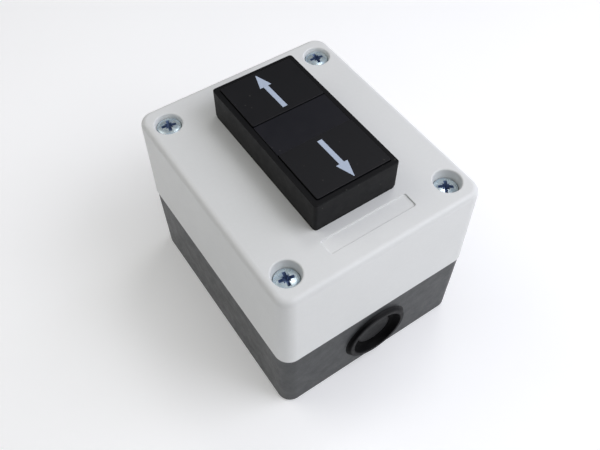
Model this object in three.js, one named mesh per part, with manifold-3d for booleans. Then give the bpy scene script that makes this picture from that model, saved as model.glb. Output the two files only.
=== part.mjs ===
// Two-button control station: closed plastic enclosure with a double push-button head
// (arrow up / arrow down), one blanked cable entry, and two contact blocks inside.
// Millimetres. Origin at the centre of the back face, +Z out of the cover towards the
// buttons, +Y along the length towards the "up" arrow, cable entry on the -Y end.
import * as THREE from 'three';
import { mergeVertices } from 'three/addons/utils/BufferGeometryUtils.js';
import Module from 'manifold-3d';

const wasm = await Module();
wasm.setup();

// ---------------------------------------------------------------- driving dimensions
const BOX_W = 72.0;            // across, at the parting line
const BOX_L = 85.4;            // along, at the parting line
const BOX_H = 64.4;            // back face to cover top
const PART_Z = 30.6;           // lower rim of the cover
const BASE_TOP = 30.3;         // upper rim of the base
const COVER_DRAFT = 0.45;      // per side, rim to top
const CORNER_R = 4.9;
const COVER_FILLET = 2.2;
const COVER_WALL = 2.6;
const COVER_ROOF = 2.8;
const BASE_STEP = 0.32;        // base sits inside the cover outline by this much
const BASE_DRAFT = 0.18;
const BASE_WALL = 2.7;
const BASE_FLOOR = 3.0;

const SCREW_X = 28.3, SCREW_Y = 33.3;
const CBORE_R = 4.35, CBORE_Z = 59.1;
const CBORE_STEP = 1.9;        // the far pair of counterbores is this much shallower
const seatZ = (sy) => CBORE_Z + (sy > 0 ? CBORE_STEP : 0);
const SCREW_HEAD_R = 3.85, SCREW_HEAD_H = 2.7, SCREW_R = 1.95, SCREW_TIP_Z = 13.5;

const LEGEND = { x: 15.1, y0: -35.1, y1: -29.8, depth: 0.5 };
const MOUNT_SLOT = { y: 27.0, r: 2.6, straight: 4.0 };   // two screw slots in the floor, 9.2 x 5.2

const ENTRY_Z = 15.0;          // height of the cable entry axis
const ENTRY_BORE_R = 9.4, ENTRY_FOOT_R = 12.3, ENTRY_LIP_R = 10.9, ENTRY_OUT = 1.5;
const PLUG_R = 6.4;

const HEAD_Y = 0.75;           // centre of the push-button head
const HEAD_W = 28.9, HEAD_L = 54.7, HEAD_TOP = 75.4, HEAD_R = 1.05;
const HEAD_GASKET_T = 0.8;
const RIM = 1.75, HEAD_FLOOR_T = 1.4;
const BARREL_R = 11.0, BARREL_BORE_R = 9.3, BARREL_END = 49.6;
const BLANK_HALF = 6.5, BLANK_TOP = 75.55;
const BUTTON_TOP = 75.9, BUTTON_SKIRT = 71.2, BUTTON_GAP = 0.15;
const TRAVEL = 4.0;            // full press of a button
const LEG_OFF = 7.5;           // leg centre from the head centre, along Y
const LEG_END = 47.0, LEG_STEP = 50.3;   // the leg narrows below the step, to enter the block's guide

const BLOCK = { hx: 18, hy: 5.4, z0: 22, z1: 45.9 };
const CONTACT_GAP = TRAVEL + 0.15;
const BRIDGE_Z = 37.0;         // underside of the moving bridge

// ---------------------------------------------------------------- helpers
function solid(g) {
  let s = g.clone();
  s.deleteAttribute('normal'); s.deleteAttribute('uv');
  s = mergeVertices(s, 1e-4);
  return new wasm.Manifold(new wasm.Mesh({
    numProp: 3,
    vertProperties: new Float32Array(s.attributes.position.array),
    triVerts: new Uint32Array(s.index.array),
  }));
}
const add = (...a) => a.reduce((p, q) => p.add(q));
const cut = (a, ...b) => b.reduce((p, q) => p.subtract(q), a);

// Points of a rounded rectangle, anticlockwise from the +X side.
function roundedRect(hx, hy, r, n = 4, cx = 0, cy = 0) {
  const p = [];
  const c = [[1, 1, 0], [-1, 1, 1], [-1, -1, 2], [1, -1, 3]];
  for (const [sx, sy, q] of c) {
    for (let i = 0; i <= n; i++) {
      const a = (q + i / n) * Math.PI / 2;
      p.push([cx + sx * (hx - r) + r * Math.cos(a), cy + sy * (hy - r) + r * Math.sin(a)]);
    }
  }
  return p;
}
// Outline of a slot with round ends, its straight part along X.
function slotPoints(cx, cy, straight, r, n) {
  const p = [];
  for (let i = 0; i <= n; i++) { const a = -Math.PI / 2 + i / n * Math.PI; p.push([cx + straight / 2 + r * Math.cos(a), cy + r * Math.sin(a)]); }
  for (let i = 0; i <= n; i++) { const a = Math.PI / 2 + i / n * Math.PI; p.push([cx - straight / 2 + r * Math.cos(a), cy + r * Math.sin(a)]); }
  return p;
}
// Closed solid through a stack of equal-count convex outlines: [{z, p}, ...] going up.
function loft(rings) {
  const n = rings[0].p.length, pos = [], idx = [];
  for (const { z, p } of rings) for (const [x, y] of p) pos.push(x, y, z);
  for (let k = 0; k + 1 < rings.length; k++) {
    for (let i = 0; i < n; i++) {
      const a = k * n + i, b = k * n + (i + 1) % n, c = a + n, d = b + n;
      idx.push(a, b, d, a, d, c);
    }
  }
  const t = (rings.length - 1) * n;
  for (let i = 1; i + 1 < n; i++) { idx.push(0, i + 1, i); idx.push(t, t + i, t + i + 1); }
  const g = new THREE.BufferGeometry();
  g.setAttribute('position', new THREE.Float32BufferAttribute(pos, 3));
  g.setIndex(idx);
  return solid(g);
}
function prism(points, z0, z1) {
  const s = new THREE.Shape(points.map(([x, y]) => new THREE.Vector2(x, y)));
  const g = new THREE.ExtrudeGeometry(s, { depth: z1 - z0, bevelEnabled: false });
  g.translate(0, 0, z0);
  return solid(g);
}
function box(x0, x1, y0, y1, z0, z1) {
  const g = new THREE.BoxGeometry(x1 - x0, y1 - y0, z1 - z0);
  g.translate((x0 + x1) / 2, (y0 + y1) / 2, (z0 + z1) / 2);
  return solid(g);
}
function cylZ(x, y, r, z0, z1, seg = 24) {
  const g = new THREE.CylinderGeometry(r, r, z1 - z0, seg);
  g.rotateX(Math.PI / 2);
  g.translate(x, y, (z0 + z1) / 2);
  return solid(g);
}
// Turned solid about a vertical axis at (x, y). Profile: [[r, z], ...], closed on itself.
function turnZ(x, y, profile, seg = 24) {
  const g = new THREE.LatheGeometry(profile.map(([r, z]) => new THREE.Vector2(r, z)), seg);
  g.rotateX(Math.PI / 2);
  g.scale(1, 1, 1);
  g.translate(x, y, 0);
  return outward(g);
}
// Turned solid about the entry axis. Profile: [[r, y], ...].
function turnY(profile, seg = 40) {
  const g = new THREE.LatheGeometry(profile.map(([r, y]) => new THREE.Vector2(r, y)), seg);
  g.translate(0, 0, ENTRY_Z);
  return outward(g);
}
function outward(g) {
  let m = solid(g);
  if (m.volume() < 0) {
    const h = g.clone();
    const ix = Array.from(h.index.array);
    for (let i = 0; i < ix.length; i += 3) { const t = ix[i]; ix[i] = ix[i + 1]; ix[i + 1] = t; }
    h.setIndex(ix);
    m = solid(h);
  }
  return m;
}
// Helical compression spring standing on z0, with flattened end turns.
function spring(x, y, R, wire, z0, z1, turns, seg = 12) {
  const pts = [], N = Math.round(turns * seg);
  const lo = z0 + wire, hi = z1 - wire;
  for (let i = 0; i <= N; i++) {
    const t = i / N, a = t * turns * 2 * Math.PI;
    const e = 0.75 / turns;
    let u = (t - e) / (1 - 2 * e);
    u = Math.min(1, Math.max(0, u));
    const endLift = t < e ? 0.0 : 0.0;
    pts.push(new THREE.Vector3(x + R * Math.cos(a), y + R * Math.sin(a), lo + (hi - lo) * u + endLift));
  }
  const path = new THREE.CatmullRomCurve3(pts);
  const sec = new THREE.Shape();
  for (let i = 0; i < 6; i++) {
    const a = i * Math.PI / 3;
    if (i === 0) sec.moveTo(wire, 0); else sec.lineTo(wire * Math.cos(a), wire * Math.sin(a));
  }
  sec.closePath();
  return solid(new THREE.ExtrudeGeometry(sec, { steps: N, bevelEnabled: false, extrudePath: path }));
}

const group = new THREE.Group();
group.name = 'control_station';
function node(name, m, color, roughness, metalness = 0) {
  const mesh = m.getMesh();
  const g = new THREE.BufferGeometry();
  g.setAttribute('position', new THREE.Float32BufferAttribute(Array.from(mesh.vertProperties), 3));
  g.setIndex(Array.from(mesh.triVerts));
  g.computeVertexNormals();
  const o = new THREE.Mesh(g, new THREE.MeshStandardMaterial({ color, roughness, metalness }));
  o.name = name;
  group.add(o);
}

const COVER_GREY = 0xd0d2cf, BASE_GREY = 0x5a5e61, BLACK = 0x1c1d1f, RUBBER = 0x0d0d0e;
const ZINC = 0xa9b0b8, BRASS = 0xb8954a, SILVER = 0xc9c9c4, ARROW = 0xb4c0c8, HOLDER = 0x3a3d40;

// ---------------------------------------------------------------- enclosure base
{
  const hx = BOX_W / 2 - BASE_STEP, hy = BOX_L / 2 - BASE_STEP, r = CORNER_R - BASE_STEP;
  const bx = hx - BASE_DRAFT, by = hy - BASE_DRAFT;
  const outer = loft([
    { z: 0, p: roundedRect(bx - 0.5, by - 0.5, r - 0.5, 5) },
    { z: 0.5, p: roundedRect(bx, by, r, 5) },
    { z: BASE_TOP, p: roundedRect(hx, hy, r, 5) },
  ]);
  const ix = hx - BASE_WALL, iy = hy - BASE_WALL;
  const hollow = loft([
    { z: BASE_FLOOR, p: roundedRect(ix - 0.2, iy - 0.2, 2.2, 3) },
    { z: BASE_TOP + 1, p: roundedRect(ix, iy, 2.2, 3) },
  ]);
  let m = cut(outer, hollow);
  for (const sx of [-1, 1]) for (const sy of [-1, 1]) {
    m = m.add(cylZ(sx * SCREW_X, sy * SCREW_Y, 5.4, BASE_FLOOR - 0.5, BASE_TOP, 20));
  }
  // bore that the cable entry grommet snaps into
  const yf = -(hy - BASE_DRAFT * 0.5);
  const entry = new THREE.CylinderGeometry(ENTRY_BORE_R, ENTRY_BORE_R, 12, 40);
  entry.translate(0, yf + 1, ENTRY_Z);
  m = m.subtract(solid(entry));
  // pilot holes for the cover screws
  for (const sx of [-1, 1]) for (const sy of [-1, 1]) {
    m = m.subtract(cylZ(sx * SCREW_X, sy * SCREW_Y, 2.12, 9, BASE_TOP + 1, 16));
  }
  // two wall-mounting slots through the floor
  for (const sy of [-1, 1]) {
    m = m.subtract(prism(slotPoints(0, sy * MOUNT_SLOT.y, MOUNT_SLOT.straight, MOUNT_SLOT.r, 8), -1, BASE_FLOOR + 1));
  }
  node('base_box', m, BASE_GREY, 0.55);
}

// ---------------------------------------------------------------- cover
{
  const hx = BOX_W / 2, hy = BOX_L / 2;
  const tx = hx - COVER_DRAFT, ty = hy - COVER_DRAFT;
  const rings = [{ z: PART_Z, p: roundedRect(hx, hy, CORNER_R, 5) }];
  for (let i = 0; i <= 4; i++) {
    const a = i / 4 * Math.PI / 2;
    const inset = COVER_FILLET * (1 - Math.cos(a));
    rings.push({
      z: BOX_H - COVER_FILLET + COVER_FILLET * Math.sin(a),
      p: roundedRect(tx - inset, ty - inset, CORNER_R - inset, 5),
    });
  }
  const outer = loft(rings);
  const ix = hx - COVER_WALL, iy = hy - COVER_WALL;
  const hollow = loft([
    { z: PART_Z - 1, p: roundedRect(ix, iy, 2.4, 3) },
    { z: BOX_H - COVER_ROOF, p: roundedRect(ix - COVER_DRAFT, iy - COVER_DRAFT, 2.4, 3) },
  ]);
  let m = cut(outer, hollow);
  for (const sx of [-1, 1]) for (const sy of [-1, 1]) {
    m = m.add(cylZ(sx * SCREW_X, sy * SCREW_Y, 5.9, PART_Z, BOX_H - 1.2, 20));
  }
  for (const sx of [-1, 1]) for (const sy of [-1, 1]) {
    const x = sx * SCREW_X, y = sy * SCREW_Y;
    m = m.subtract(turnZ(x, y, [
      [0, seatZ(sy)], [CBORE_R, seatZ(sy)], [CBORE_R, BOX_H - 0.45], [CBORE_R + 0.5, BOX_H + 0.05],
      [CBORE_R + 0.5, BOX_H + 1], [0, BOX_H + 1], [0, seatZ(sy)]], 28));
    m = m.subtract(cylZ(x, y, 2.3, PART_Z - 1, seatZ(sy) + 1, 16));
  }
  m = m.subtract(cylZ(0, HEAD_Y, BARREL_R + 0.2, BOX_H - 6, BOX_H + 2, 40));
  m = m.subtract(box(-LEGEND.x, LEGEND.x, LEGEND.y0, LEGEND.y1, BOX_H - LEGEND.depth, BOX_H + 1));
  node('cover', m, COVER_GREY, 0.5);
}

// ---------------------------------------------------------------- seal between base and cover
{
  const o = prism(roundedRect(35.0, 41.7, 4.0, 5), BASE_TOP + 0.02, PART_Z - 0.02);
  const i = prism(roundedRect(33.7, 40.4, 2.9, 5), BASE_TOP - 1, PART_Z + 1);
  node('cover_gasket', cut(o, i), RUBBER, 0.9);
}

// ---------------------------------------------------------------- cover screws
function coverScrew(x, y) {
  const z0 = seatZ(y) + 0.03, z1 = z0 + SCREW_HEAD_H, R = SCREW_HEAD_R;
  let m = turnZ(x, y, [
    [0, SCREW_TIP_Z], [0.9, SCREW_TIP_Z + 0.3], [SCREW_R, SCREW_TIP_Z + 2.2], [SCREW_R, z0], [R, z0],
    [R, z1 - 1.0], [R - 0.3, z1 - 0.4], [R - 1.1, z1 - 0.06], [0, z1], [0, SCREW_TIP_Z]], 20);
  const w = 0.55, l = 2.1;
  m = cut(m, box(x - l, x + l, y - w, y + w, z1 - 1.5, z1 + 1), box(x - w, x + w, y - l, y + l, z1 - 1.5, z1 + 1));
  return m;
}
{
  let k = 1;
  for (const [sx, sy] of [[-1, -1], [1, -1], [-1, 1], [1, 1]]) {
    node(`cover_screw_${k++}`, coverScrew(sx * SCREW_X, sy * SCREW_Y), ZINC, 0.3, 0.9);
  }
}

// ---------------------------------------------------------------- cable entry: rubber grommet and blanking plug
{
  const front = -(BOX_L / 2 - BASE_STEP - BASE_DRAFT / 2 + ENTRY_OUT);
  const seat = -42.37;         // back of the outer flange, on the face of the base
  node('entry_bush', turnY([
    [PLUG_R + 0.1, -38.0], [PLUG_R + 0.1, -41.2], [8.1, -41.7], [8.85, -43.1], [ENTRY_BORE_R - 0.05, front],
    [ENTRY_LIP_R, front], [ENTRY_LIP_R + 0.65, front + 0.3], [ENTRY_FOOT_R - 0.25, front + 0.85], [ENTRY_FOOT_R, seat],
    [ENTRY_BORE_R - 0.1, seat], [ENTRY_BORE_R - 0.1, -39.4], [11.2, -39.4], [11.2, -38.0], [PLUG_R + 0.1, -38.0]], 40), RUBBER, 0.85);
  node('entry_plug', turnY([
    [0, -41.65], [PLUG_R - 0.35, -41.65], [PLUG_R, -41.3], [PLUG_R, -37.9], [PLUG_R + 1.0, -37.85],
    [PLUG_R + 1.0, -36.9], [0, -36.9], [0, -41.65]], 36), BLACK, 0.5);
}

// ---------------------------------------------------------------- push-button head: frame with threaded barrel
const FRAME_Z = BOX_H + HEAD_GASKET_T;
const INX = HEAD_W / 2 - RIM, INY = HEAD_L / 2 - RIM;
{
  const hx = HEAD_W / 2, hy = HEAD_L / 2;
  let m = loft([
    { z: FRAME_Z, p: roundedRect(hx, hy, HEAD_R, 3, 0, HEAD_Y) },
    { z: HEAD_TOP - 0.25, p: roundedRect(hx - 0.04, hy - 0.04, HEAD_R, 3, 0, HEAD_Y) },
    { z: HEAD_TOP - 0.08, p: roundedRect(hx - 0.1, hy - 0.1, HEAD_R - 0.08, 3, 0, HEAD_Y) },
    { z: HEAD_TOP, p: roundedRect(hx - 0.26, hy - 0.26, HEAD_R - 0.22, 3, 0, HEAD_Y) },
  ]);
  m = m.subtract(prism(roundedRect(INX, INY, 0.6, 2, 0, HEAD_Y), FRAME_Z + HEAD_FLOOR_T, HEAD_TOP + 1));
  // hollow clamping barrel that passes through the cover
  m = m.add(cylZ(0, HEAD_Y, BARREL_R, BARREL_END, FRAME_Z + 0.5, 36));
  m = m.subtract(cylZ(0, HEAD_Y, BARREL_BORE_R, BARREL_END - 1, FRAME_Z, 32));
  for (const s of [-1, 1]) {
    const y = HEAD_Y + s * LEG_OFF;
    m = m.subtract(box(-3.85, 3.85, y - 1.2, y + 1.2, FRAME_Z - 2, FRAME_Z + HEAD_FLOOR_T + 1));
    // locating spigot for the return spring
    m = m.add(cylZ(0, HEAD_Y + s * (BLANK_HALF + 9.6), 2.2, FRAME_Z + HEAD_FLOOR_T - 0.5, FRAME_Z + HEAD_FLOOR_T + 0.7, 14));
  }
  node('bezel_frame', m, BLACK, 0.45);
}
{
  const o = prism(roundedRect(HEAD_W / 2 - 0.15, HEAD_L / 2 - 0.15, HEAD_R, 3, 0, HEAD_Y), BOX_H + 0.02, FRAME_Z - 0.02);
  node('head_gasket', cut(o, cylZ(0, HEAD_Y, BARREL_R + 0.1, BOX_H - 1, FRAME_Z + 1, 36)), RUBBER, 0.9);
}
{
  // blank insert between the two buttons, standing on the frame floor
  const f = FRAME_Z + HEAD_FLOOR_T + 0.02, hx = INX - 0.12, y0 = HEAD_Y - BLANK_HALF, y1 = HEAD_Y + BLANK_HALF;
  let m = loft([
    { z: f, p: roundedRect(hx, BLANK_HALF, 0.25, 2, 0, HEAD_Y) },
    { z: BLANK_TOP - 0.25, p: roundedRect(hx, BLANK_HALF, 0.25, 2, 0, HEAD_Y) },
    { z: BLANK_TOP, p: roundedRect(hx - 0.25, BLANK_HALF - 0.25, 0.2, 2, 0, HEAD_Y) },
  ]);
  m = m.subtract(box(-hx + 1.4, hx - 1.4, y0 - 1, y1 + 1, f - 1, BLANK_TOP - 1.8));
  m = m.add(box(-9.5, 9.5, y0 + 1.0, y0 + 2.2, f + 0.6, BLANK_TOP - 1));
  m = m.add(box(-9.5, 9.5, y1 - 2.2, y1 - 1.0, f + 0.6, BLANK_TOP - 1));
  node('centre_blank', m, BLACK, 0.3);
}
// ---------------------------------------------------------------- lock nut under the cover roof
{
  let m = cylZ(0, HEAD_Y, 14.6, 58.2, BOX_H - COVER_ROOF - 0.05, 24);
  m = m.subtract(cylZ(0, HEAD_Y, BARREL_R + 0.12, 50, 64, 36));
  for (let i = 0; i < 6; i++) {
    const a = i * Math.PI / 3;
    m = m.subtract(cylZ(14.9 * Math.cos(a), HEAD_Y + 14.9 * Math.sin(a), 1.5, 50, 64, 10));
  }
  node('lock_nut', m, HOLDER, 0.6);
}

// ---------------------------------------------------------------- buttons, arrows, return springs
function arrowPoints(s, grow = 0) {
  // s = +1 points to +Y, -1 to -Y. Lengths measured from the head centre.
  const tail = 8.45 - grow, tip = 24.55 + grow * 1.6, neck = 18.6 - grow, w = 0.85 + grow, hw = 2.3 + grow * 1.2;
  const p = [[-w, tail], [w, tail], [w, neck], [hw, neck], [0, tip], [-hw, neck], [-w, neck]];
  const q = p.map(([x, y]) => [x, HEAD_Y + s * y]);
  return s > 0 ? q : q.reverse();
}
for (const [name, s] of [['up', 1], ['down', -1]]) {
  const yIn = BLANK_HALF + BUTTON_GAP, yOut = INY - BUTTON_GAP;
  const cy = HEAD_Y + s * (yIn + yOut) / 2, hy = (yOut - yIn) / 2, hx = INX - BUTTON_GAP;
  let m = loft([
    { z: BUTTON_SKIRT, p: roundedRect(hx, hy, 0.45, 2, 0, cy) },
    { z: BUTTON_TOP - 0.3, p: roundedRect(hx, hy, 0.45, 2, 0, cy) },
    { z: BUTTON_TOP, p: roundedRect(hx - 0.3, hy - 0.3, 0.3, 2, 0, cy) },
  ]);
  m = m.subtract(prism(roundedRect(hx - 1.3, hy - 1.3, 0.4, 2, 0, cy), BUTTON_SKIRT - 1, BUTTON_TOP - 1.8));
  // leg that reaches down inside the barrel
  const ly = HEAD_Y + s * LEG_OFF;
  m = m.add(box(-3.5, 3.5, ly - 0.8, ly + 0.8, LEG_STEP, BUTTON_TOP - 1));
  m = m.add(box(-2.2, 2.2, ly - 0.8, ly + 0.8, LEG_END, LEG_STEP + 1));
  m = m.add(cylZ(0, HEAD_Y + s * (BLANK_HALF + 9.6), 1.9, BUTTON_TOP - 3.9, BUTTON_TOP - 1, 14));
  // pocket for the arrow inlay
  m = m.subtract(prism(arrowPoints(s, 0.03), BUTTON_TOP - 0.35, BUTTON_TOP + 1));
  node(`${name}_button`, m, BLACK, 0.4);
  node(`${name}_arrow`, prism(arrowPoints(s), BUTTON_TOP - 0.32, BUTTON_TOP + 0.02), ARROW, 0.45);
  node(`${name}_return_spring`, spring(0, HEAD_Y + s * (BLANK_HALF + 9.6), 3.1, 0.35,
    FRAME_Z + HEAD_FLOOR_T + 0.03, BUTTON_TOP - 1.83, 3.5, 11), SILVER, 0.3, 0.9);
}

// ---------------------------------------------------------------- contact holder on the barrel end
{
  let m = box(-15, 15, HEAD_Y - 14.5, HEAD_Y + 14.5, 46.0, 49.5);
  m = m.add(cylZ(0, HEAD_Y, 13.6, 49.0, 53.6, 32));
  m = m.subtract(cylZ(0, HEAD_Y, BARREL_R + 0.15, 49.5, 55, 36));
  m = m.subtract(cylZ(0, HEAD_Y, 9.4, 44, 51, 28));
  for (const s of [-1, 1]) m = m.subtract(box(-3.0, 3.0, HEAD_Y + s * LEG_OFF - 3.0, HEAD_Y + s * LEG_OFF + 3.0, 45, 49.4));
  node('contact_holder', m, HOLDER, 0.6);
}

// ---------------------------------------------------------------- contact blocks
for (const [name, s] of [['up', 1], ['down', -1]]) {
  const yc = HEAD_Y + s * LEG_OFF, { hx, hy, z0, z1 } = BLOCK;
  const FIX_Z = BRIDGE_Z - CONTACT_GAP;              // top of the fixed contact tips
  // housing, open towards the outer side so the mechanism can be put in
  let m = box(-hx, hx, yc - hy, yc + hy, z0, z1);
  m = m.subtract(box(-11.0, 11.0, yc - 3.9, yc + 3.9, 30.2, 42.4));      // contact chamber
  m = m.subtract(box(-3.3, 3.3, yc - 3.3, yc + 3.3, 24.0, 31));          // spring well
  m = m.subtract(box(-2.75, 2.75, yc - 2.75, yc + 2.75, 42, z1 + 1));    // plunger guide
  m = m.subtract(box(-9.0, 9.0, Math.min(yc, yc + s * 7), Math.max(yc, yc + s * 7), 31.2, 41.4));
  for (const e of [-1, 1]) {
    m = m.subtract(box(Math.min(e * 11.9, e * 20), Math.max(e * 11.9, e * 20), yc - 3.7, yc + 3.7, 26.2, 36.5));
    m = m.subtract(box(Math.min(e * 10, e * 13), Math.max(e * 10, e * 13), yc - 3.1, yc + 3.1, 31.0, 32.3));
    m = m.subtract(cylZ(e * 15, yc, 3.4, z0 - 1, 27, 18));
    m = m.subtract(cylZ(e * 15, yc, 1.7, 36, 39, 12));
  }
  node(`${name}_block_housing`, m, HOLDER, 0.55);

  // plunger with a window for the moving bridge
  let p = box(-2.6, 2.6, yc - 2.6, yc + 2.6, 32.4, LEG_END - 0.05);
  p = p.add(box(-3.6, 3.6, yc - 3.0, yc + 3.0, 40.6, 42.2));
  p = p.subtract(box(-4, 4, yc - 1.75, yc + 1.75, BRIDGE_Z - 0.05, BRIDGE_Z + 0.95));
  p = p.subtract(cylZ(0, yc, 2.2, 32, 33.6, 14));
  node(`${name}_plunger`, p, SILVER, 0.6);

  let b = box(-9.6, 9.6, yc - 1.6, yc + 1.6, BRIDGE_Z, BRIDGE_Z + 0.8);
  node(`${name}_bridge`, b, BRASS, 0.35, 0.9);

  node(`${name}_block_spring`, spring(0, yc, 2.3, 0.3, 24.05, 32.35, 4.5, 9), SILVER, 0.3, 0.9);

  let k = 1;
  for (const e of [-1, 1]) {
    const xa = Math.min(e * 6.6, e * 17.4), xb = Math.max(e * 6.6, e * 17.4);
    let t = box(xa, xb, yc - 2.9, yc + 2.9, 31.2, 32.1);
    t = t.add(cylZ(e * 8.2, yc, 1.5, 31.5, FIX_Z, 14));
    t = t.subtract(cylZ(e * 15, yc, 1.75, 30, 34, 14));
    node(`${name}_terminal_${k}`, t, BRASS, 0.35, 0.9);
    let c = turnZ(e * 15, yc, [
      [0, 23.2], [2.9, 23.2], [3.1, 23.5], [3.1, 25.4], [1.5, 25.4], [1.5, 37.6], [0, 38.1], [0, 23.2]], 16);
    c = c.subtract(box(e * 15 - 4, e * 15 + 4, yc - 0.4, yc + 0.4, 22, 24.2));
    node(`${name}_terminal_screw_${k}`, c, ZINC, 0.35, 0.9);
    k++;
  }
}

export default group;
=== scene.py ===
import math
import bmesh
import bpy
from mathutils import Matrix, Vector


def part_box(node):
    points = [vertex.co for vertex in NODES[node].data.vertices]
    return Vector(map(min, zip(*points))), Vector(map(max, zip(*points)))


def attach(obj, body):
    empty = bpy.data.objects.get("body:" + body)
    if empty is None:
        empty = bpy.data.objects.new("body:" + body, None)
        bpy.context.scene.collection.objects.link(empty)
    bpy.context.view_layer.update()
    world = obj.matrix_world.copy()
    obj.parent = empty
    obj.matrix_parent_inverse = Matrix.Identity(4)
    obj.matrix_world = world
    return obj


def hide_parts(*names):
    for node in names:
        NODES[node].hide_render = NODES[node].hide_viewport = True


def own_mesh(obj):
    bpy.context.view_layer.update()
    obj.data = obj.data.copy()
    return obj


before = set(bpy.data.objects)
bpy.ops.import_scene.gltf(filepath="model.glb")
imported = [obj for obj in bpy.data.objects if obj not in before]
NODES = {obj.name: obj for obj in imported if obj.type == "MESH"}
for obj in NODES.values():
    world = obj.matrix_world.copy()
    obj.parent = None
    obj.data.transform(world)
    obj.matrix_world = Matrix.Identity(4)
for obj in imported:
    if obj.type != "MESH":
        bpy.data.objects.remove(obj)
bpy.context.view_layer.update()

MM = 0.001
scene = bpy.context.scene

# ------------------------------------------------------------------ sizes, in millimetres, from the frame
def mmbox(node):
    a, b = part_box(node)
    return [c * 1000 for c in a], [c * 1000 for c in b]

(cx0, cy0, PART_Z), (cx1, cy1, BOX_H) = mmbox("cover")
(bx0, _, _), (bx1, by1, BASE_TOP) = mmbox("base_box")
HX, HY = cx1, cy1                       # cover half size at the parting line
BX, BY = bx1, by1                       # base half size at its upper rim
(fx0, fy0, BARREL_END), (fx1, fy1, RIM_TOP) = mmbox("bezel_frame")
HEAD_Y = (fy0 + fy1) / 2
FX, FY = fx1, (fy1 - fy0) / 2
BLANK_TOP = mmbox("centre_blank")[1][2]
BUTTON_TOP = mmbox("up_button")[1][2]
SCREW_X, SCREW_Y = 28.3, 33.3
ENTRY_Z = 15.0
COLLAR_Y = mmbox("entry_bush")[0][1]    # front of the grommet round the cable entry


# ------------------------------------------------------------------ mesh helpers
def rrect(hx, hy, r, n=10, cx=0.0, cy=0.0):
    p = []
    for q, (sx, sy) in enumerate([(1, 1), (-1, 1), (-1, -1), (1, -1)]):
        for i in range(n + 1):
            a = (q + i / n) * math.pi / 2
            p.append((cx + sx * (hx - r) + r * math.cos(a), cy + sy * (hy - r) + r * math.sin(a)))
    return p


def new_object(name, verts, faces):
    me = bpy.data.meshes.new(name)
    me.from_pydata([(x * MM, y * MM, z * MM) for x, y, z in verts], [], faces)
    me.validate()
    bm = bmesh.new()
    bm.from_mesh(me)
    bmesh.ops.remove_doubles(bm, verts=bm.verts, dist=1e-7)
    bmesh.ops.recalc_face_normals(bm, faces=bm.faces)
    bm.to_mesh(me)
    bm.free()
    o = bpy.data.objects.new(name, me)
    scene.collection.objects.link(o)
    return o


def loft(name, rings, cap=True):
    n = len(rings[0][1])
    verts = [(x, y, z) for z, p in rings for x, y in p]
    faces = []
    for k in range(len(rings) - 1):
        for i in range(n):
            a, b = k * n + i, k * n + (i + 1) % n
            faces.append((a, b, b + n, a + n))
    if cap:
        faces.append(tuple(reversed(range(n))))
        t = (len(rings) - 1) * n
        faces.append(tuple(range(t, t + n)))
    return new_object(name, verts, faces)


def lathe(name, profile, seg=96, axis="Z", at=(0.0, 0.0, 0.0)):
    """Closed turned solid. profile is [(r, h), ...] closed on itself or on the axis."""
    verts, faces, rows = [], [], []
    for r, h in profile:
        if r < 1e-6:
            rows.append([len(verts)])
            verts.append((0.0, 0.0, h))
        else:
            row = []
            for i in range(seg):
                a = 2 * math.pi * i / seg
                row.append(len(verts))
                verts.append((r * math.cos(a), r * math.sin(a), h))
            rows.append(row)
    m = len(rows)
    for k in range(m):
        a, b = rows[k], rows[(k + 1) % m]
        if len(a) == 1 and len(b) == 1:
            continue
        for i in range(seg):
            j = (i + 1) % seg
            if len(a) == 1:
                faces.append((a[0], b[j], b[i]))
            elif len(b) == 1:
                faces.append((a[i], a[j], b[0]))
            else:
                faces.append((a[i], a[j], b[j], b[i]))
    if axis == "Y":          # profile height runs along Y
        verts = [(x, z, -y) for x, y, z in verts]
    verts = [(x + at[0], y + at[1], z + at[2]) for x, y, z in verts]
    return new_object(name, verts, faces)


def prism(name, pts, z0, z1):
    return loft(name, [(z0, pts), (z1, pts)])


def block(name, x0, x1, y0, y1, z0, z1):
    return prism(name, [(x1, y0), (x1, y1), (x0, y1), (x0, y0)], z0, z1)


def arc(cx, cz, r, a0, a1, n):
    """Points (x, z) of an arc, angles in degrees."""
    return [(cx + r * math.cos(math.radians(a0 + (a1 - a0) * i / n)),
             cz + r * math.sin(math.radians(a0 + (a1 - a0) * i / n))) for i in range(n + 1)]


def boolean(o, tools, op="DIFFERENCE"):
    for t in tools:
        m = o.modifiers.new("b", "BOOLEAN")
        m.operation, m.object, m.solver = op, t, "EXACT"
    dg = bpy.context.evaluated_depsgraph_get()
    me = bpy.data.meshes.new_from_object(o.evaluated_get(dg))
    o.modifiers.clear()
    old = o.data
    o.data = me
    bpy.data.meshes.remove(old)
    for t in tools:
        bpy.data.objects.remove(t)
    return o


def finish_mesh(o, angle=32, weighted=True):
    bm = bmesh.new()
    bm.from_mesh(o.data)
    bmesh.ops.remove_doubles(bm, verts=bm.verts, dist=2e-7)
    bmesh.ops.dissolve_degenerate(bm, edges=bm.edges, dist=1e-7)
    bm.to_mesh(o.data)
    bm.free()
    for p in o.data.polygons:
        p.use_smooth = True
    o.data.set_sharp_from_angle(angle=math.radians(angle))
    if weighted:
        w = o.modifiers.new("normals", "WEIGHTED_NORMAL")
        w.keep_sharp = True
        w.weight = 50
    return o


# ------------------------------------------------------------------ materials
def srgb(r, g, b):
    def f(c):
        c /= 255.0
        return c / 12.92 if c <= 0.04045 else ((c + 0.055) / 1.055) ** 2.4
    return (f(r), f(g), f(b), 1.0)


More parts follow.
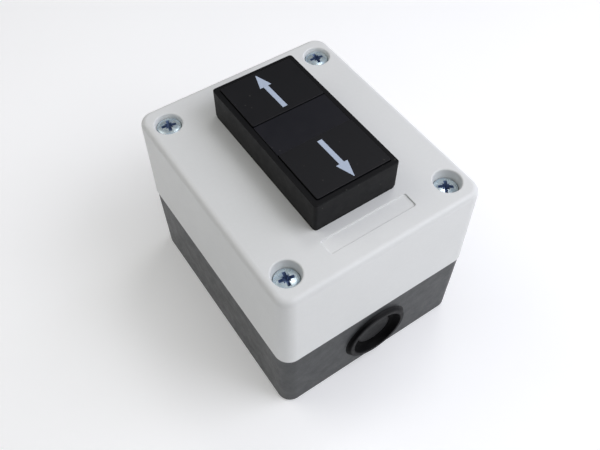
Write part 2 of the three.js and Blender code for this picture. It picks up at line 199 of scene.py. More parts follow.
class Mat:
    """A small builder of node materials on object coordinates (metres)."""

    def __init__(self, name):
        self.m = bpy.data.materials.new(name)
        self.m.use_nodes = True
        self.t = self.m.node_tree
        self.t.nodes.clear()
        self.out = self.t.nodes.new("ShaderNodeOutputMaterial")
        self.bsdf = self.t.nodes.new("ShaderNodeBsdfPrincipled")
        self.t.links.new(self.bsdf.outputs[0], self.out.inputs[0])
        self.co = self.t.nodes.new("ShaderNodeTexCoord").outputs["Object"]

    def node(self, kind, **kw):
        n = self.t.nodes.new(kind)
        for k, v in kw.items():
            setattr(n, k, v)
        return n

    def link(self, a, b):
        self.t.links.new(a, b)

    def noise(self, scale, detail=3.0, rough=0.55, stretch=None, w=0.0):
        n = self.node("ShaderNodeTexNoise")
        n.inputs["Scale"].default_value = scale
        n.inputs["Detail"].default_value = detail
        n.inputs["Roughness"].default_value = rough
        src = self.co
        if stretch or w:
            mp = self.node("ShaderNodeMapping")
            mp.inputs["Scale"].default_value = stretch or (1, 1, 1)
            mp.inputs["Location"].default_value = (w, w * 0.7, w * 0.3)
            self.link(self.co, mp.inputs[0])
            src = mp.outputs[0]
        self.link(src, n.inputs["Vector"])
        return n.outputs["Fac"]

    def voronoi(self, scale, feature="F1", w=0.0):
        n = self.node("ShaderNodeTexVoronoi")
        n.feature = feature
        n.inputs["Scale"].default_value = scale
        src = self.co
        if w:
            mp = self.node("ShaderNodeMapping")
            mp.inputs["Location"].default_value = (w, w, w)
            self.link(self.co, mp.inputs[0])
            src = mp.outputs[0]
        self.link(src, n.inputs["Vector"])
        return n.outputs["Distance"]

    def ramp(self, src, a, b, lo=0.0, hi=1.0):
        n = self.node("ShaderNodeMapRange")
        n.inputs["From Min"].default_value = a
        n.inputs["From Max"].default_value = b
        n.inputs["To Min"].default_value = lo
        n.inputs["To Max"].default_value = hi
        self.link(src, n.inputs["Value"])
        return n.outputs[0]

    def math(self, op, a, b=None, clamp=False):
        n = self.node("ShaderNodeMath", operation=op)
        n.use_clamp = clamp
        for i, v in enumerate((a, b)):
            if v is None:
                continue
            if isinstance(v, (int, float)):
                n.inputs[i].default_value = v
            else:
                self.link(v, n.inputs[i])
        return n.outputs[0]

    def mix(self, fac, a, b):
        n = self.node("ShaderNodeMix", data_type="RGBA")
        n.inputs["Factor"].default_value = 0.5
        if isinstance(fac, (int, float)):
            n.inputs["Factor"].default_value = fac
        else:
            self.link(fac, n.inputs["Factor"])
        for key, v in (("A", a), ("B", b)):
            sock = [s for s in n.inputs if s.name == key and s.type == "RGBA"][0]
            if isinstance(v, tuple):
                sock.default_value = v
            else:
                self.link(v, sock)
        return [s for s in n.outputs if s.type == "RGBA"][0]

    def bump(self, height, strength, distance, normal=None):
        n = self.node("ShaderNodeBump")
        n.inputs["Strength"].default_value = strength
        n.inputs["Distance"].default_value = distance
        self.link(height, n.inputs["Height"])
        if normal is not None:
            self.link(normal, n.inputs["Normal"])
        return n.outputs[0]

    def edge(self, radius):
        """0 on flats, towards 1 on convex and concave edges."""
        bev = self.node("ShaderNodeBevel", samples=6)
        bev.inputs["Radius"].default_value = radius
        geo = self.node("ShaderNodeNewGeometry")
        dot = self.node("ShaderNodeVectorMath", operation="DOT_PRODUCT")
        self.link(bev.outputs[0], dot.inputs[0])
        self.link(geo.outputs["Normal"], dot.inputs[1])
        return self.ramp(dot.outputs["Value"], 0.995, 0.93)

    def set(self, **kw):
        for k, v in kw.items():
            k = {"color": "Base Color", "rough": "Roughness", "metal": "Metallic", "normal": "Normal",
                 "spec": "Specular IOR Level", "coat": "Coat Weight", "coat_rough": "Coat Roughness"}[k]
            if isinstance(v, (int, float, tuple)):
                self.bsdf.inputs[k].default_value = v
            else:
                self.link(v, self.bsdf.inputs[k])
        return self.m


def plastic(name, rgb, rough=0.45, grain=1400, depth=0.00003, strength=0.25, tint=0.04, wear=0.25,
            specks=0.0, fine=5200, spec=0.5, coat=0.0):
    k = Mat(name)
    base = srgb(*rgb)
    dark = tuple(c * (1 - tint) for c in base[:3]) + (1.0,)
    light = tuple(min(1, c * (1 + tint)) for c in base[:3]) + (1.0,)
    flow = k.noise(34, 4, 0.6)                       # slow tone drift of a moulding
    col = k.mix(k.ramp(flow, 0.35, 0.65), dark, light)
    pig = k.noise(900, 2, 0.7, w=0.4)                # pigment mottling
    col = k.mix(k.ramp(pig, 0.42, 0.72, 0.0, 0.25), col, tuple(min(1, c * 1.06) for c in base[:3]) + (1.0,))
    if wear:
        e = k.math("MULTIPLY", k.edge(0.0005), k.ramp(k.noise(420, 5, 0.7, w=0.9), 0.42, 0.66))
        e = k.math("MULTIPLY", e, wear)
        worn = tuple(min(1, c * 1.12 + 0.035) for c in base[:3]) + (1.0,)
        col = k.mix(e, col, worn)
    if specks:
        d = k.voronoi(330, w=0.13)
        sp = k.ramp(d, 0.10, 0.05)
        sp = k.math("MULTIPLY", sp, k.ramp(k.noise(120, 2, 0.5, w=0.21), 0.52, 0.62))
        sp = k.math("MULTIPLY", sp, specks)
        col = k.mix(sp, col, srgb(168, 166, 158))
    g1 = k.noise(grain, 4, 0.62)
    g2 = k.voronoi(fine)
    h = k.math("ADD", g1, k.math("MULTIPLY", g2, 0.45))
    r = k.ramp(k.noise(260, 4, 0.6, w=0.33), 0.3, 0.7, rough - 0.05, rough + 0.06)
    r = k.math("ADD", r, k.ramp(g1, 0.3, 0.7, -0.03, 0.03))
    k.set(color=col, rough=r, normal=k.bump(h, strength, depth), spec=spec)
    if coat:
        k.set(coat=coat, coat_rough=0.12)
    return k.m


def rubber(name, rgb=(18, 18, 19), rough=0.8, strength=0.4, spec=0.3, lit_tone=None, lit_spec=0.3):
    """Optional lit tone: a lighter colour painted on the surfaces that look along -Y and a little up, where the front
    lamps fall: painted light, against the darker shaded sides.
    """
    k = Mat(name)
    base = srgb(*rgb)
    n1 = k.noise(700, 5, 0.65)
    n2 = k.noise(60, 3, 0.5, w=0.7)
    col = k.mix(k.ramp(n2, 0.35, 0.65), tuple(c * 0.8 for c in base[:3]) + (1.0,),
                tuple(c * 1.25 for c in base[:3]) + (1.0,))
    bloom = k.math("MULTIPLY", k.ramp(n1, 0.55, 0.75), 0.05)
    col = k.mix(bloom, col, srgb(90, 90, 88))
    r = k.ramp(n1, 0.3, 0.7, rough - 0.08, rough + 0.08)
    if lit_tone:
        # painted light: surfaces facing the front-right lamps, towards (0.45, -0.85, 0.27), get the lighter tone and
        # more specular
        geo = k.node("ShaderNodeNewGeometry")
        dot = k.node("ShaderNodeVectorMath", operation="DOT_PRODUCT")
        k.link(geo.outputs["Normal"], dot.inputs[0])
        dot.inputs[1].default_value = (0.45, -0.85, 0.27)
        f = k.ramp(dot.outputs["Value"], 0.3, 0.8)
        xyz = k.node("ShaderNodeSeparateXYZ")        # the bore inside the lip keeps the near-black colour: painted shade in the bore
        k.link(k.co, xyz.inputs[0])
        dz = k.math("SUBTRACT", xyz.outputs["Z"], ENTRY_Z * MM)
        rr = k.math("SQRT", k.math("ADD", k.math("MULTIPLY", xyz.outputs["X"], xyz.outputs["X"]), k.math("MULTIPLY", dz, dz)))
        f = k.math("MULTIPLY", f, k.ramp(rr, 0.0093, 0.0096))
        tone = k.mix(k.ramp(n2, 0.35, 0.65), tuple(c * 0.85 for c in srgb(*lit_tone)[:3]) + (1.0,), srgb(*lit_tone))
        col = k.mix(f, col, tone)
        spec = k.ramp(f, 0.0, 1.0, spec, lit_spec)
    k.set(color=col, rough=r, normal=k.bump(k.math("ADD", n1, k.noise(3000, 2, 0.5)), strength, 0.00004), spec=spec)
    return k.m


def metal(name, rgb, rough=0.3, blue=None, turned=None, strength=0.2, stain=0.35, metal=1.0):
    """Plated or bare metal: fine scratches, cloudy plating, darker stains."""
    k = Mat(name)
    base = srgb(*rgb)
    cloud = k.noise(380, 5, 0.6)
    col = k.mix(k.ramp(cloud, 0.35, 0.7), tuple(c * 0.86 for c in base[:3]) + (1.0,), base)
    if blue:
        col = k.mix(k.ramp(k.noise(650, 4, 0.6, w=1.7), 0.45, 0.7, 0.0, 0.7), col, srgb(*blue))
    st = k.math("MULTIPLY", k.ramp(k.noise(900, 5, 0.7, w=2.2), 0.58, 0.75), stain)
    col = k.mix(st, col, tuple(c * 0.5 for c in base[:3]) + (1.0,))
    scr = k.noise(1500, 3, 0.6, stretch=(1, 9, 9) if not turned else (4, 4, 1))
    r = k.ramp(cloud, 0.3, 0.7, rough - 0.07, rough + 0.1)
    k.set(color=col, metal=metal, rough=r, normal=k.bump(scr, strength, 0.00003))
    return k.m


M = {
    "cover": plastic("moulded_light_grey", (223, 224, 223), rough=0.42, tint=0.012, wear=0.3, strength=0.16, depth=0.00002),
    "base": plastic("moulded_dark_grey", (41, 44, 46), rough=0.41, tint=0.05, wear=0.22, strength=0.22, depth=0.00002, spec=0.36),
    "frame": plastic("moulded_black_satin", (14, 14, 16), rough=0.5, tint=0.05, wear=0.02, specks=0.12, strength=0.22, depth=0.00002, spec=0.16),
    "button": plastic("moulded_black_button", (14, 14, 18), rough=0.48, tint=0.05, wear=0.0, specks=0.1, strength=0.2, depth=0.00002, spec=0.27),
    "blank": plastic("moulded_black_gloss", (16, 16, 24), rough=0.4, tint=0.05, wear=0.0, specks=0.1, strength=0.12, depth=0.00001, spec=0.3),
    "arrow": plastic("moulded_arrow_blue_grey", (176, 188, 207), rough=0.5, tint=0.015, wear=0.0, strength=0.12, depth=0.00001),
    "rubber": rubber("seal_rubber_black"),
    # near-black rubber with a lighter tone painted on its lamp-facing surfaces (painted light) and its bore left dark
    # (painted shade)
    "grommet": rubber("grommet_rubber_painted_light", (5, 5, 6), 0.55, 0.2, 0.05, lit_tone=(24, 24, 25), lit_spec=0.15),
    "plug": plastic("moulded_plug_black", (14, 15, 17), rough=0.42, tint=0.08, wear=0.05, strength=0.25, depth=0.00002, spec=0.15),
    "zinc": metal("zinc_plated_steel", (204, 217, 222), rough=0.25, blue=(165, 192, 216), turned=True, stain=0.15, metal=0.6),
    # darker blue metal for the cross recesses: painted shade, the recess darkness painted in rather than left to the
    # light
    "zinc_painted_recess_shade": metal("zinc_recess_painted_shade", (104, 126, 166), rough=0.36, blue=(54, 70, 112), turned=True, stain=0.3, metal=0.5),
    "spring": metal("spring_wire", (200, 200, 196), rough=0.25, stain=0.2),
    "brass": metal("contact_brass", (196, 160, 88), rough=0.3),
    "holder": plastic("glass_filled_dark", (58, 61, 64), rough=0.55, tint=0.06, wear=0.25, strength=0.35, depth=0.00004),
    "plunger": plastic("moulded_off_white", (205, 203, 196), rough=0.45, tint=0.02, wear=0.2),
}


def dress(o, key, body, *replaced, slot=None):
    o.data.materials.clear()
    o.data.materials.append(M[key])
    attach(o, body)
    if replaced:
        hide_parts(*replaced)
    return o


CORNERS = [(-1, -1), (1, -1), (-1, 1), (1, 1)]
CORNER_R, FILLET, DRAFT = 4.9, 2.2, 0.45


# ------------------------------------------------------------------ cover
def make_cover():
    tx, ty = HX - DRAFT, HY - DRAFT
    rings = [(PART_Z, rrect(HX - 0.22, HY - 0.22, CORNER_R - 0.22, 12))]
    for i in range(1, 4):
        a = i / 3 * math.pi / 2
        d = 0.22 * (1 - math.sin(a))
        rings.append((PART_Z + 0.22 * (1 - math.cos(a)), rrect(HX - d, HY - d, CORNER_R - d, 12)))
    rings.append((PART_Z + 12, rrect(HX - DRAFT * 0.37, HY - DRAFT * 0.37, CORNER_R, 12)))
    for i in range(13):
        a = i / 12 * math.pi / 2
        d = FILLET * (1 - math.cos(a))
        rings.append((BOX_H - FILLET + FILLET * math.sin(a), rrect(tx - d, ty - d, CORNER_R - d, 12)))
    o = loft("cover_shell", rings)
    ix, iy = HX - 2.6, HY - 2.6
    cav = loft("t_cav", [(PART_Z - 1, rrect(ix, iy, 2.4, 5)), (BOX_H - 2.8, rrect(ix - DRAFT, iy - DRAFT, 2.4, 5))])
    cav = boolean(cav, [lathe("t", [(0, PART_Z - 2), (5.9, PART_Z - 2), (5.9, BOX_H), (0, BOX_H)], 40, at=(sx * SCREW_X, sy * SCREW_Y, 0))
                        for sx, sy in CORNERS])
    # the cavity tool is open below the rim, so the tubes end flush with it
    tools = [cav]
    mouth = arc(4.3 + 0.55, BOX_H - 0.55, 0.55, 180, 90, 7)
    for k, (sx, sy) in enumerate(CORNERS, 1):
        seat = mmbox(f"cover_screw_{k}")[1][2] - 2.73
        prof = [(0, seat), (3.93, seat), (3.97, seat + 0.05), (4.02, seat + 2.3)] + mouth + [(4.85, BOX_H + 1), (0, BOX_H + 1)]
        tools.append(lathe("t", prof, 96, at=(sx * SCREW_X, sy * SCREW_Y, 0)))
    o = boolean(o, tools)
    tools = [lathe("t", [(0, PART_Z - 2), (2.3, PART_Z - 2), (2.3, 61.5), (0, 61.5)], 32, at=(sx * SCREW_X, sy * SCREW_Y, 0)) for sx, sy in CORNERS]
    tools.append(lathe("t", [(0, 55), (11.2, 55), (11.2, BOX_H + 1), (0, BOX_H + 1)], 72, at=(0, HEAD_Y, 0)))
    # legend recess with sloped, softened walls
    lx, ly0, ly1, dep = 15.1, -35.1, -29.8, 0.5
    ry, rc = (ly1 - ly0) / 2, (ly0 + ly1) / 2
    rings = []
    for d, z in ((0.34, -dep), (0.22, -dep + 0.05), (0.14, -dep + 0.16), (0.06, -0.14), (0.0, -0.03), (-0.05, 0.0), (-0.05, 0.6)):
        rings.append((BOX_H + z, rrect(lx - d, ry - d, 0.75 - d * 0.9, 5, 0, rc)))
    tools.append(loft("t", rings))
    o = boolean(o, tools)
    finish_mesh(o, 30)
    return dress(o, "cover", "enclosure", "cover", slot="cover_plastic")


# ------------------------------------------------------------------ base
def make_base():
    bx, by, r = BX - 0.18, BY - 0.18, CORNER_R - 0.32
    rings = []
    for i in range(6):
        a = i / 5 * math.pi / 2
        d = 0.5 * (1 - math.sin(a))
        rings.append((0.5 * (1 - math.cos(a)), rrect(bx - d, by - d, r - d, 12)))
    rings.append((15, rrect(bx + 0.09, by + 0.09, r, 12)))
    rings.append((BASE_TOP - 0.2, rrect(BX, BY, r, 12)))
    rings.append((BASE_TOP, rrect(BX - 0.2, BY - 0.2, r - 0.2, 12)))
    o = loft("base_shell", rings)
    yf = -(BY - 0.09)
    ix, iy = BX - 2.7, BY - 2.7
    cav = loft("t_cav", [(3.0, rrect(ix - 0.2, iy - 0.2, 2.2, 5)), (BASE_TOP + 1, rrect(ix, iy, 2.2, 5))])
    cav = boolean(cav, [lathe("t", [(0, 1), (5.4, 1), (5.4, BASE_TOP + 3), (0, BASE_TOP + 3)], 40, at=(sx * SCREW_X, sy * SCREW_Y, 0))
                        for sx, sy in CORNERS])
    bore = [(0, -50), (9.7, -50), (9.7, yf - 0.2), (9.4, yf + 0.3), (9.4, -36), (0, -36)]
    tools = [cav, lathe("t", bore, 128, "Y", (0, 0, ENTRY_Z))]
    for sx, sy in CORNERS:
        tools.append(lathe("t", [(0, 9), (2.12, 9), (2.12, BASE_TOP + 1), (0, BASE_TOP + 1)], 32, at=(sx * SCREW_X, sy * SCREW_Y, 0)))
    for sy in (-1, 1):
        pts = []
        for c in (1, -1):
            for i in range(13):
                a = (-math.pi / 2 if c > 0 else math.pi / 2) + i / 12 * math.pi
                pts.append((c * 2.0 + 2.6 * math.cos(a), sy * 27.0 + 2.6 * math.sin(a)))
        tools.append(prism("t", pts, -1, 5))
    o = boolean(o, tools)
    finish_mesh(o, 30)
    return dress(o, "base", "enclosure", "base_box", slot="base_plastic")


# ------------------------------------------------------------------ head frame
FRAME_Z = BOX_H + 0.8
RIM_W, FLOOR_T = 1.75, 1.4
INX, INY = FX - RIM_W, FY - RIM_W


def make_frame():
    r, top = 1.05, 0.22
    rings = [(FRAME_Z, rrect(FX - 0.1, FY - 0.1, r - 0.1, 8, 0, HEAD_Y)), (FRAME_Z + 0.15, rrect(FX, FY, r, 8, 0, HEAD_Y)),
             (RIM_TOP - 4, rrect(FX - 0.03, FY - 0.03, r, 8, 0, HEAD_Y))]
    for i in range(9):
        a = i / 8 * math.pi / 2
        d = 0.04 + top * (1 - math.cos(a))
        rings.append((RIM_TOP - top + top * math.sin(a), rrect(FX - d, FY - d, r - d * 0.8, 8, 0, HEAD_Y)))
    o = loft("head_frame", rings)
    e = 0.14
    well = [(FRAME_Z + FLOOR_T, rrect(INX, INY, 0.6, 5, 0, HEAD_Y)), (RIM_TOP - e, rrect(INX, INY, 0.6, 5, 0, HEAD_Y))]
    well += [(RIM_TOP - e + e * math.sin(t), rrect(INX + e * (1 - math.cos(t)), INY + e * (1 - math.cos(t)), 0.6 + e * (1 - math.cos(t)), 5, 0, HEAD_Y))
             for t in [i / 4 * math.pi / 2 for i in range(1, 5)]]
    well += [(RIM_TOP + 1, rrect(INX + e, INY + e, 0.6 + e, 5, 0, HEAD_Y))]
    o = boolean(o, [loft("t", well)])
    o = boolean(o, [lathe("t", [(0, BARREL_END), (BAR_R - 0.4, BARREL_END), (BAR_R, BARREL_END + 0.4)] +
                          thread_profile() + [(BAR_R, FRAME_Z + 0.5), (0, FRAME_Z + 0.5)], 72, at=(0, HEAD_Y, 0))], "UNION")
    tools = [lathe("t", [(0, BARREL_END - 1), (9.3, BARREL_END - 1), (9.3, FRAME_Z), (0, FRAME_Z)], 64, at=(0, HEAD_Y, 0))]
    for s in (-1, 1):
        y = HEAD_Y + s * 7.5
        tools.append(block("t", -3.85, 3.85, y - 1.2, y + 1.2, FRAME_Z - 2, FRAME_Z + FLOOR_T + 1))
    o = boolean(o, tools)
    finish_mesh(o, 30)
    return dress(o, "frame", "enclosure", "bezel_frame", slot="frame_plastic")


BAR_R = 11.0


def thread_profile():
    """Shallow thread ridges on the clamping barrel, between the holder and the cover roof."""
    p, z = [], BARREL_END + 4.4
    while z < BOX_H - 3.2:
        p += [(BAR_R, z), (BAR_R - 0.42, z + 0.5)]
        z += 1.0
    return p


# ------------------------------------------------------------------ blank, buttons
def cap(name, hx, hy, cy, z0, z1, corner, edge, crown=0.0):
    """Cap with rounded upper edges and a flat top; crown, if given, only lowers that top."""
    rings = [(z0, rrect(hx, hy, corner, 6, 0, cy))]
    for i in range(7):
        a = i / 6 * math.pi / 2
        d = edge * (1 - math.cos(a))
        rings.append((z1 - crown - edge + edge * math.sin(a), rrect(hx - d, hy - d, max(0.08, corner - d), 6, 0, cy)))
    return loft(name, rings)


def make_blank():
    hx, f = INX - 0.12, FRAME_Z + FLOOR_T + 0.02
    o = cap("head_blank", hx, 6.5, HEAD_Y, f, BLANK_TOP, 0.25, 0.09)
    o = boolean(o, [block("t", -hx + 1.4, hx - 1.4, HEAD_Y - 8, HEAD_Y + 8, f - 1, BLANK_TOP - 1.8)])
    finish_mesh(o, 30)
    return dress(o, "blank", "enclosure", "centre_blank", slot="blank_plastic")


def arrow_points(s, grow=0.0):
    y0, y1 = mmbox("up_arrow" if s > 0 else "down_arrow")[0][1] - HEAD_Y, mmbox("up_arrow" if s > 0 else "down_arrow")[1][1] - HEAD_Y
    tail, tip = (y0, y1) if s > 0 else (-y1, -y0)
    tail, tip = tail - grow, tip + grow * 1.6
    neck, w, hw = 18.85 - grow, 0.81 + grow, 2.02 + grow * 1.2
    p = [(-w, tail), (w, tail), (w, neck), (hw, neck), (0.07, tip), (-0.07, tip), (-hw, neck), (-w, neck)]
    t = math.radians(1.2)                # the inlays sit very slightly turned on the caps
    q = [(x * math.cos(t) - s * y * math.sin(t), HEAD_Y + x * math.sin(t) + s * y * math.cos(t)) for x, y in p]
    return q if s > 0 else q[::-1]


def make_button(name, s):
    y_in, y_out = 6.65, INY - 0.15
    cy, hy, hx = HEAD_Y + s * (y_in + y_out) / 2, (y_out - y_in) / 2, INX - 0.15
    z0 = 71.2
    o = cap(name + "_cap", hx, hy, cy, z0, BUTTON_TOP, 0.45, 0.13)
    leg_y, post_y = HEAD_Y + s * 7.5, HEAD_Y + s * 16.1
    o = boolean(o, [prism("t", rrect(hx - 1.3, hy - 1.3, 0.4, 3, 0, cy), z0 - 1, BUTTON_TOP - 1.8)])
    o = boolean(o, [block("t", -3.5, 3.5, leg_y - 0.8, leg_y + 0.8, 50.3, BUTTON_TOP - 1),
                    block("t", -2.2, 2.2, leg_y - 0.8, leg_y + 0.8, 47.0, 52),
                    lathe("t", [(0, BUTTON_TOP - 3.9), (1.6, BUTTON_TOP - 3.9), (1.9, BUTTON_TOP - 3.6), (1.9, BUTTON_TOP - 1), (0, BUTTON_TOP - 1)],
                          32, at=(0, post_y, 0))], "UNION")
    o = boolean(o, [prism("t", arrow_points(s, 0.03), BUTTON_TOP - 0.35, BUTTON_TOP + 1)])
    finish_mesh(o, 30)
    dress(o, "button", name + "_button", name + "_button", slot="button_plastic")
    z = BUTTON_TOP
    a = loft(name + "_arrow_inlay", [(z - 0.32, arrow_points(s)), (z - 0.02, arrow_points(s)), (z + 0.01, arrow_points(s, -0.03))])
    finish_mesh(a, 30, False)
    dress(a, "arrow", name + "_button", name + "_arrow", slot="arrow_plastic")


# ------------------------------------------------------------------ screws
def make_screw(k, sx, sy, turn):
    (x0, y0, tip), (x1, y1, z1) = mmbox(f"cover_screw_{k}")
    x, y = (x0 + x1) / 2, (y0 + y1) / 2
    R, H = 3.85, 2.7
    z0 = z1 - H
    dome = [(0, z1)]
    prof = [(0, tip), (0.9, tip + 0.3), (1.7, tip + 2.2)]
    z = tip + 2.6
    while z < z0 - 14:
        prof += [(1.62, z), (1.95, z + 0.35), (1.62, z + 0.7)]
        z += 0.75
    prof += [(1.8, z0 - 13), (1.95, z0 - 12.8), (1.95, z0), (R - 0.2, z0), (R, z0 + 0.2)]
    prof += [(R, z1 - 0.98)]
    # side rounding into a shallow dome
    for i in range(1, 8):
        t = i / 7 * math.radians(66)
        prof.append((R - 0.6 * (1 - math.cos(t)), z1 - 0.98 + 0.6 * math.sin(t)))
    r1, h1 = prof[-1]
    for i in range(1, 7):
        f = i / 6
        r = r1 * (1 - f)
        prof.append((r, h1 + (z1 - h1) * (1 - (r / r1) ** 2)) if i < 6 else (0, z1))
    o = lathe(f"cover_screw_body_{k}", prof, 72, at=(x, y, 0))
    # cross recess: tapering wings, a conical centre, and short diagonal ticks
    tools = []
    def wing(l0, l1, w0, w1, ang, d):
        ca, sa = math.cos(ang), math.sin(ang)
        rings = []
        for (l, w, h) in ((l1, w1, z1 - d), (l0, w0, z1 + 0.02), (l0 + 0.12, w0 + 0.1, z1 + 1)):
            p = [(l, -w), (l, w), (-l, w), (-l, -w)]
            rings.append((h, [(x + a * ca - b * sa, y + a * sa + b * ca) for a, b in p]))
        return loft("t", rings)
    tools.append(wing(2.5, 1.1, 0.52, 0.32, turn, 1.9))
    tools.append(wing(2.5, 1.1, 0.52, 0.32, turn + math.pi / 2, 1.9))
    tools.append(wing(1.5, 0.8, 0.24, 0.15, turn + math.pi / 4, 1.1))
    tools.append(wing(1.5, 0.8, 0.24, 0.15, turn + 3 * math.pi / 4, 1.1))
    o = boolean(o, tools)
    finish_mesh(o, 35)
    dress(o, "zinc", "enclosure", f"cover_screw_{k}", slot="screw_zinc")
    # the cross recess faces take the darker metal: painted shade in the recess
    o.data.materials.append(M["zinc_painted_recess_shade"])
    for p in o.data.polygons:
        c = p.center / MM
        r = math.hypot(c.x - x, c.y - y)
        if r < 2.95 and z1 - 2.4 < c.z < z1 - (z1 - h1) * (r / r1) ** 2 - 0.05:
            p.material_index = 1
    return o


# ------------------------------------------------------------------ cable entry
def make_entry():
    fy, seat = COLLAR_Y, -42.3
    # one rubber moulding: bore side first, then the lip, the rounded outer bead, the neck and the inner flange
    prof = [(6.5, -41.0), (6.62, -41.16), (7.8, -41.25), (8.45, -41.7), (8.9, -42.4), (9.25, -43.1), (9.42, -43.5)]
    prof += [(9.76 - 0.3 * math.cos(t), fy + 0.3 - 0.3 * math.sin(t)) for t in [i / 6 * math.pi / 2 for i in range(7)]]
    prof += [(10.6 + 0.75 * math.sin(t), fy + 0.75 * (1 - math.cos(t))) for t in [i / 10 * math.radians(80) for i in range(11)]]
    prof += [(11.5, fy + 1.0), (11.78, seat - 0.16), (11.9, seat - 0.03), (12.0, seat + 0.0)]
    prof += [(9.3, seat), (9.3, -39.4), (11.1, -39.4), (11.2, -39.3), (11.2, -38.1), (11.1, -38.0), (6.5, -38.0)]
    o = lathe("entry_grommet", prof, 144, "Y", (0, 0, ENTRY_Z))
    finish_mesh(o, 38)
    dress(o, "grommet", "enclosure", "entry_bush", slot="seal_rubber")
    f = -41.65
    prof = [(0, f + 0.42), (2.2, f + 0.38), (4.2, f + 0.22), (5.1, f + 0.1), (5.55, f + 0.02), (5.8, f)]
    prof += [(6.05 + 0.35 * math.sin(t), f + 0.35 * (1 - math.cos(t))) for t in [i / 6 * math.pi / 2 for i in range(7)]]
    prof += [(6.4, -37.9), (7.3, -37.85), (7.4, -37.75), (7.4, -37.0), (7.3, -36.9), (0, -36.9)]
    o = lathe("entry_plug_disc", prof, 128, "Y", (0, 0, ENTRY_Z))
    finish_mesh(o, 40)
    dress(o, "plug", "enclosure", "entry_plug", slot="plug_plastic")


# ------------------------------------------------------------------ coil springs in place of the CAD springs
def make_spring(node, x, y, R, wire, z0, z1, turns):
    N, sec = int(turns * 40), 12
    lo, hi = z0 + wire, z1 - wire
    pts = []
    e = 0.8 / turns
    for i in range(N + 1):
        t = i / N
        a = t * turns * 2 * math.pi
        u = min(1.0, max(0.0, (t - e) / (1 - 2 * e)))
        u = u * u * (3 - 2 * u) * 0.25 + u * 0.75
        pts.append(Vector((x + R * math.cos(a), y + R * math.sin(a), lo + (hi - lo) * u)))
    verts, faces = [], []
    for i, p in enumerate(pts):
        q = pts[min(i + 1, N)] - pts[max(i - 1, 0)]
        q.normalize()
        out = Vector((p.x - x, p.y - y, 0)).normalized()
        up = q.cross(out).normalized()
        for j in range(sec):
            a = 2 * math.pi * j / sec
            v = p + out * (wire * math.cos(a)) + up * (wire * math.sin(a))
            verts.append((v.x, v.y, v.z))
    for i in range(N):
        for j in range(sec):
            a, b = i * sec + j, i * sec + (j + 1) % sec
            faces.append((a, b, b + sec, a + sec))
    faces.append(tuple(range(sec)))
    faces.append(tuple(range(N * sec, N * sec + sec)))
    o = new_object(node + "_coil", verts, faces)
    finish_mesh(o, 50, False)
    dress(o, "spring", "enclosure", node, slot="spring_steel")
    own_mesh(o)
    return o


make_cover()
make_base()
make_frame()
make_blank()
make_button("up", 1)
make_button("down", -1)
for k, ((sx, sy), turn) in enumerate(zip(CORNERS, (-11.3, -35.6, -12.4, -8.2)), 1):
    make_screw(k, sx, sy, math.radians(turn))
make_entry()
for s, n in ((1, "up"), (-1, "down")):
    (_, _, a), (_, _, b) = mmbox(n + "_return_spring")
    make_spring(n + "_return_spring", 0, HEAD_Y + s * 16.1, 3.1, 0.34, a + 0.02, b - 0.02, 3.5)
    (_, _, a), (_, _, b) = mmbox(n + "_block_spring")
    make_spring(n + "_block_spring", 0, HEAD_Y + s * 7.5, 2.3, 0.29, a + 0.02, b - 0.02, 4.5)

# CAD nodes that stay, with their own finishes
for n, key in (("cover_gasket", "rubber"), ("head_gasket", "rubber"), ("lock_nut", "holder"), ("contact_holder", "holder")):
    NODES[n].data.materials.clear()
    NODES[n].data.materials.append(M[key])
for s in ("up", "down"):
    for n, key in ((f"{s}_block_housing", "holder"), (f"{s}_plunger", "plunger"), (f"{s}_bridge", "brass"),
                   (f"{s}_terminal_1", "brass"), (f"{s}_terminal_2", "brass"),
                   (f"{s}_terminal_screw_1", "zinc"), (f"{s}_terminal_screw_2", "zinc")):
        NODES[n].data.materials.clear()
        NODES[n].data.materials.append(M[key])
for n, o in NODES.items():
    if not o.hide_render:
        b = o.modifiers.new("edges", "BEVEL")
        b.width, b.segments, b.limit_method, b.angle_limit = 0.00015, 2, "ANGLE", math.radians(40)
        b.harden_normals = False

# ------------------------------------------------------------------ stage, light, camera
def floor():
    me = bpy.data.meshes.new("floor")
    s = 1.6
    me.from_pydata([(-s, -s, 0), (s, -s, 0), (s, s, 0), (-s, s, 0)], [], [(0, 1, 2, 3)])
    o = bpy.data.objects.new("floor", me)
    scene.collection.objects.link(o)
    k = Mat("floor_paper")
    k.set(color=k.mix(k.ramp(k.noise(9, 3, 0.5), 0.3, 0.7), (0.94, 0.94, 0.94, 1), (0.96, 0.96, 0.96, 1)), rough=0.9)
    k.bsdf.inputs["Emission Color"].default_value = (1, 1, 1, 1)
    k.bsdf.inputs["Emission Strength"].default_value = 0.17
    me.materials.append(k.m)
    o.location.z = -0.0002


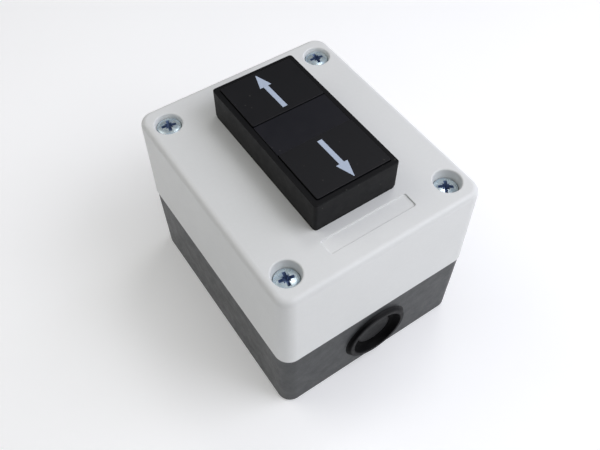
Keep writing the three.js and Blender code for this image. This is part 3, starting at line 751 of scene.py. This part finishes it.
def area(name, loc, target, size, watts, color=(1, 1, 1), sy=None):
    d = bpy.data.lights.new(name, "AREA")
    d.energy, d.color, d.size = watts, color, size
    if sy:
        d.shape, d.size_y = "RECTANGLE", sy
    o = bpy.data.objects.new(name, d)
    o.location = loc
    o.rotation_euler = (Vector(target) - Vector(loc)).to_track_quat("-Z", "Y").to_euler()
    scene.collection.objects.link(o)
    return o


floor()
C = Vector((0, 0, 0.04))
def lamp(name, az, el, watts, color, size=0.55, dist=0.9):
    a, e = math.radians(az), math.radians(el)
    area(name, C + Vector((math.cos(e) * math.cos(a), math.cos(e) * math.sin(a), math.sin(e))) * dist, C, size, watts, color)


lamp("key_front_right", 315, 48, 1.66, (0.96, 0.97, 1.05), 0.37, 0.6)
lamp("side_right", 0, 18, 1.4, (0.94, 0.94, 1.12))
lamp("back_left", 135, 47, 0.46, (1.03, 1.0, 0.95), 0.31, 0.5)
lamp("front_high", 270, 48, 1.15, (1.0, 1.0, 1.0))
lamp("low_front_right", 315, 18, 0.4, (1.0, 1.0, 1.0))
lamp("top_right", 32, 63, 0.7, (1.0, 1.0, 1.0), 0.19)
lamp("top_soft", 0, 88, 0.5, (1.0, 1.0, 1.0))
world = bpy.data.worlds.new("studio")
world.use_nodes = True
bg = world.node_tree.nodes["Background"]
bg.inputs[0].default_value = (0.95, 0.98, 1.0, 1)
bg.inputs[1].default_value = 0.17
scene.world = world
scene.view_settings.view_transform = "Standard"
scene.view_settings.look = "None"

cam = bpy.data.cameras.new("camera")
cam.sensor_width = 36.0
cam.lens = 675.3992 * 36.0 / 600.0
cam.clip_start, cam.clip_end = 0.01, 10
co = bpy.data.objects.new("camera", cam)
scene.collection.objects.link(co)
fwd = Vector((0.33054743, 0.48529189, -0.8094629)).normalized()
right = Vector((0.826252980, -0.563299138, -0.000307249)).normalized()
up = right.cross(fwd).normalized()
co.matrix_world = Matrix(((right.x, up.x, -fwd.x, -0.07859453809), (right.y, up.y, -fwd.y, -0.11358486112),
                          (right.z, up.z, -fwd.z, 0.21678190087), (0, 0, 0, 1)))
scene.camera = co
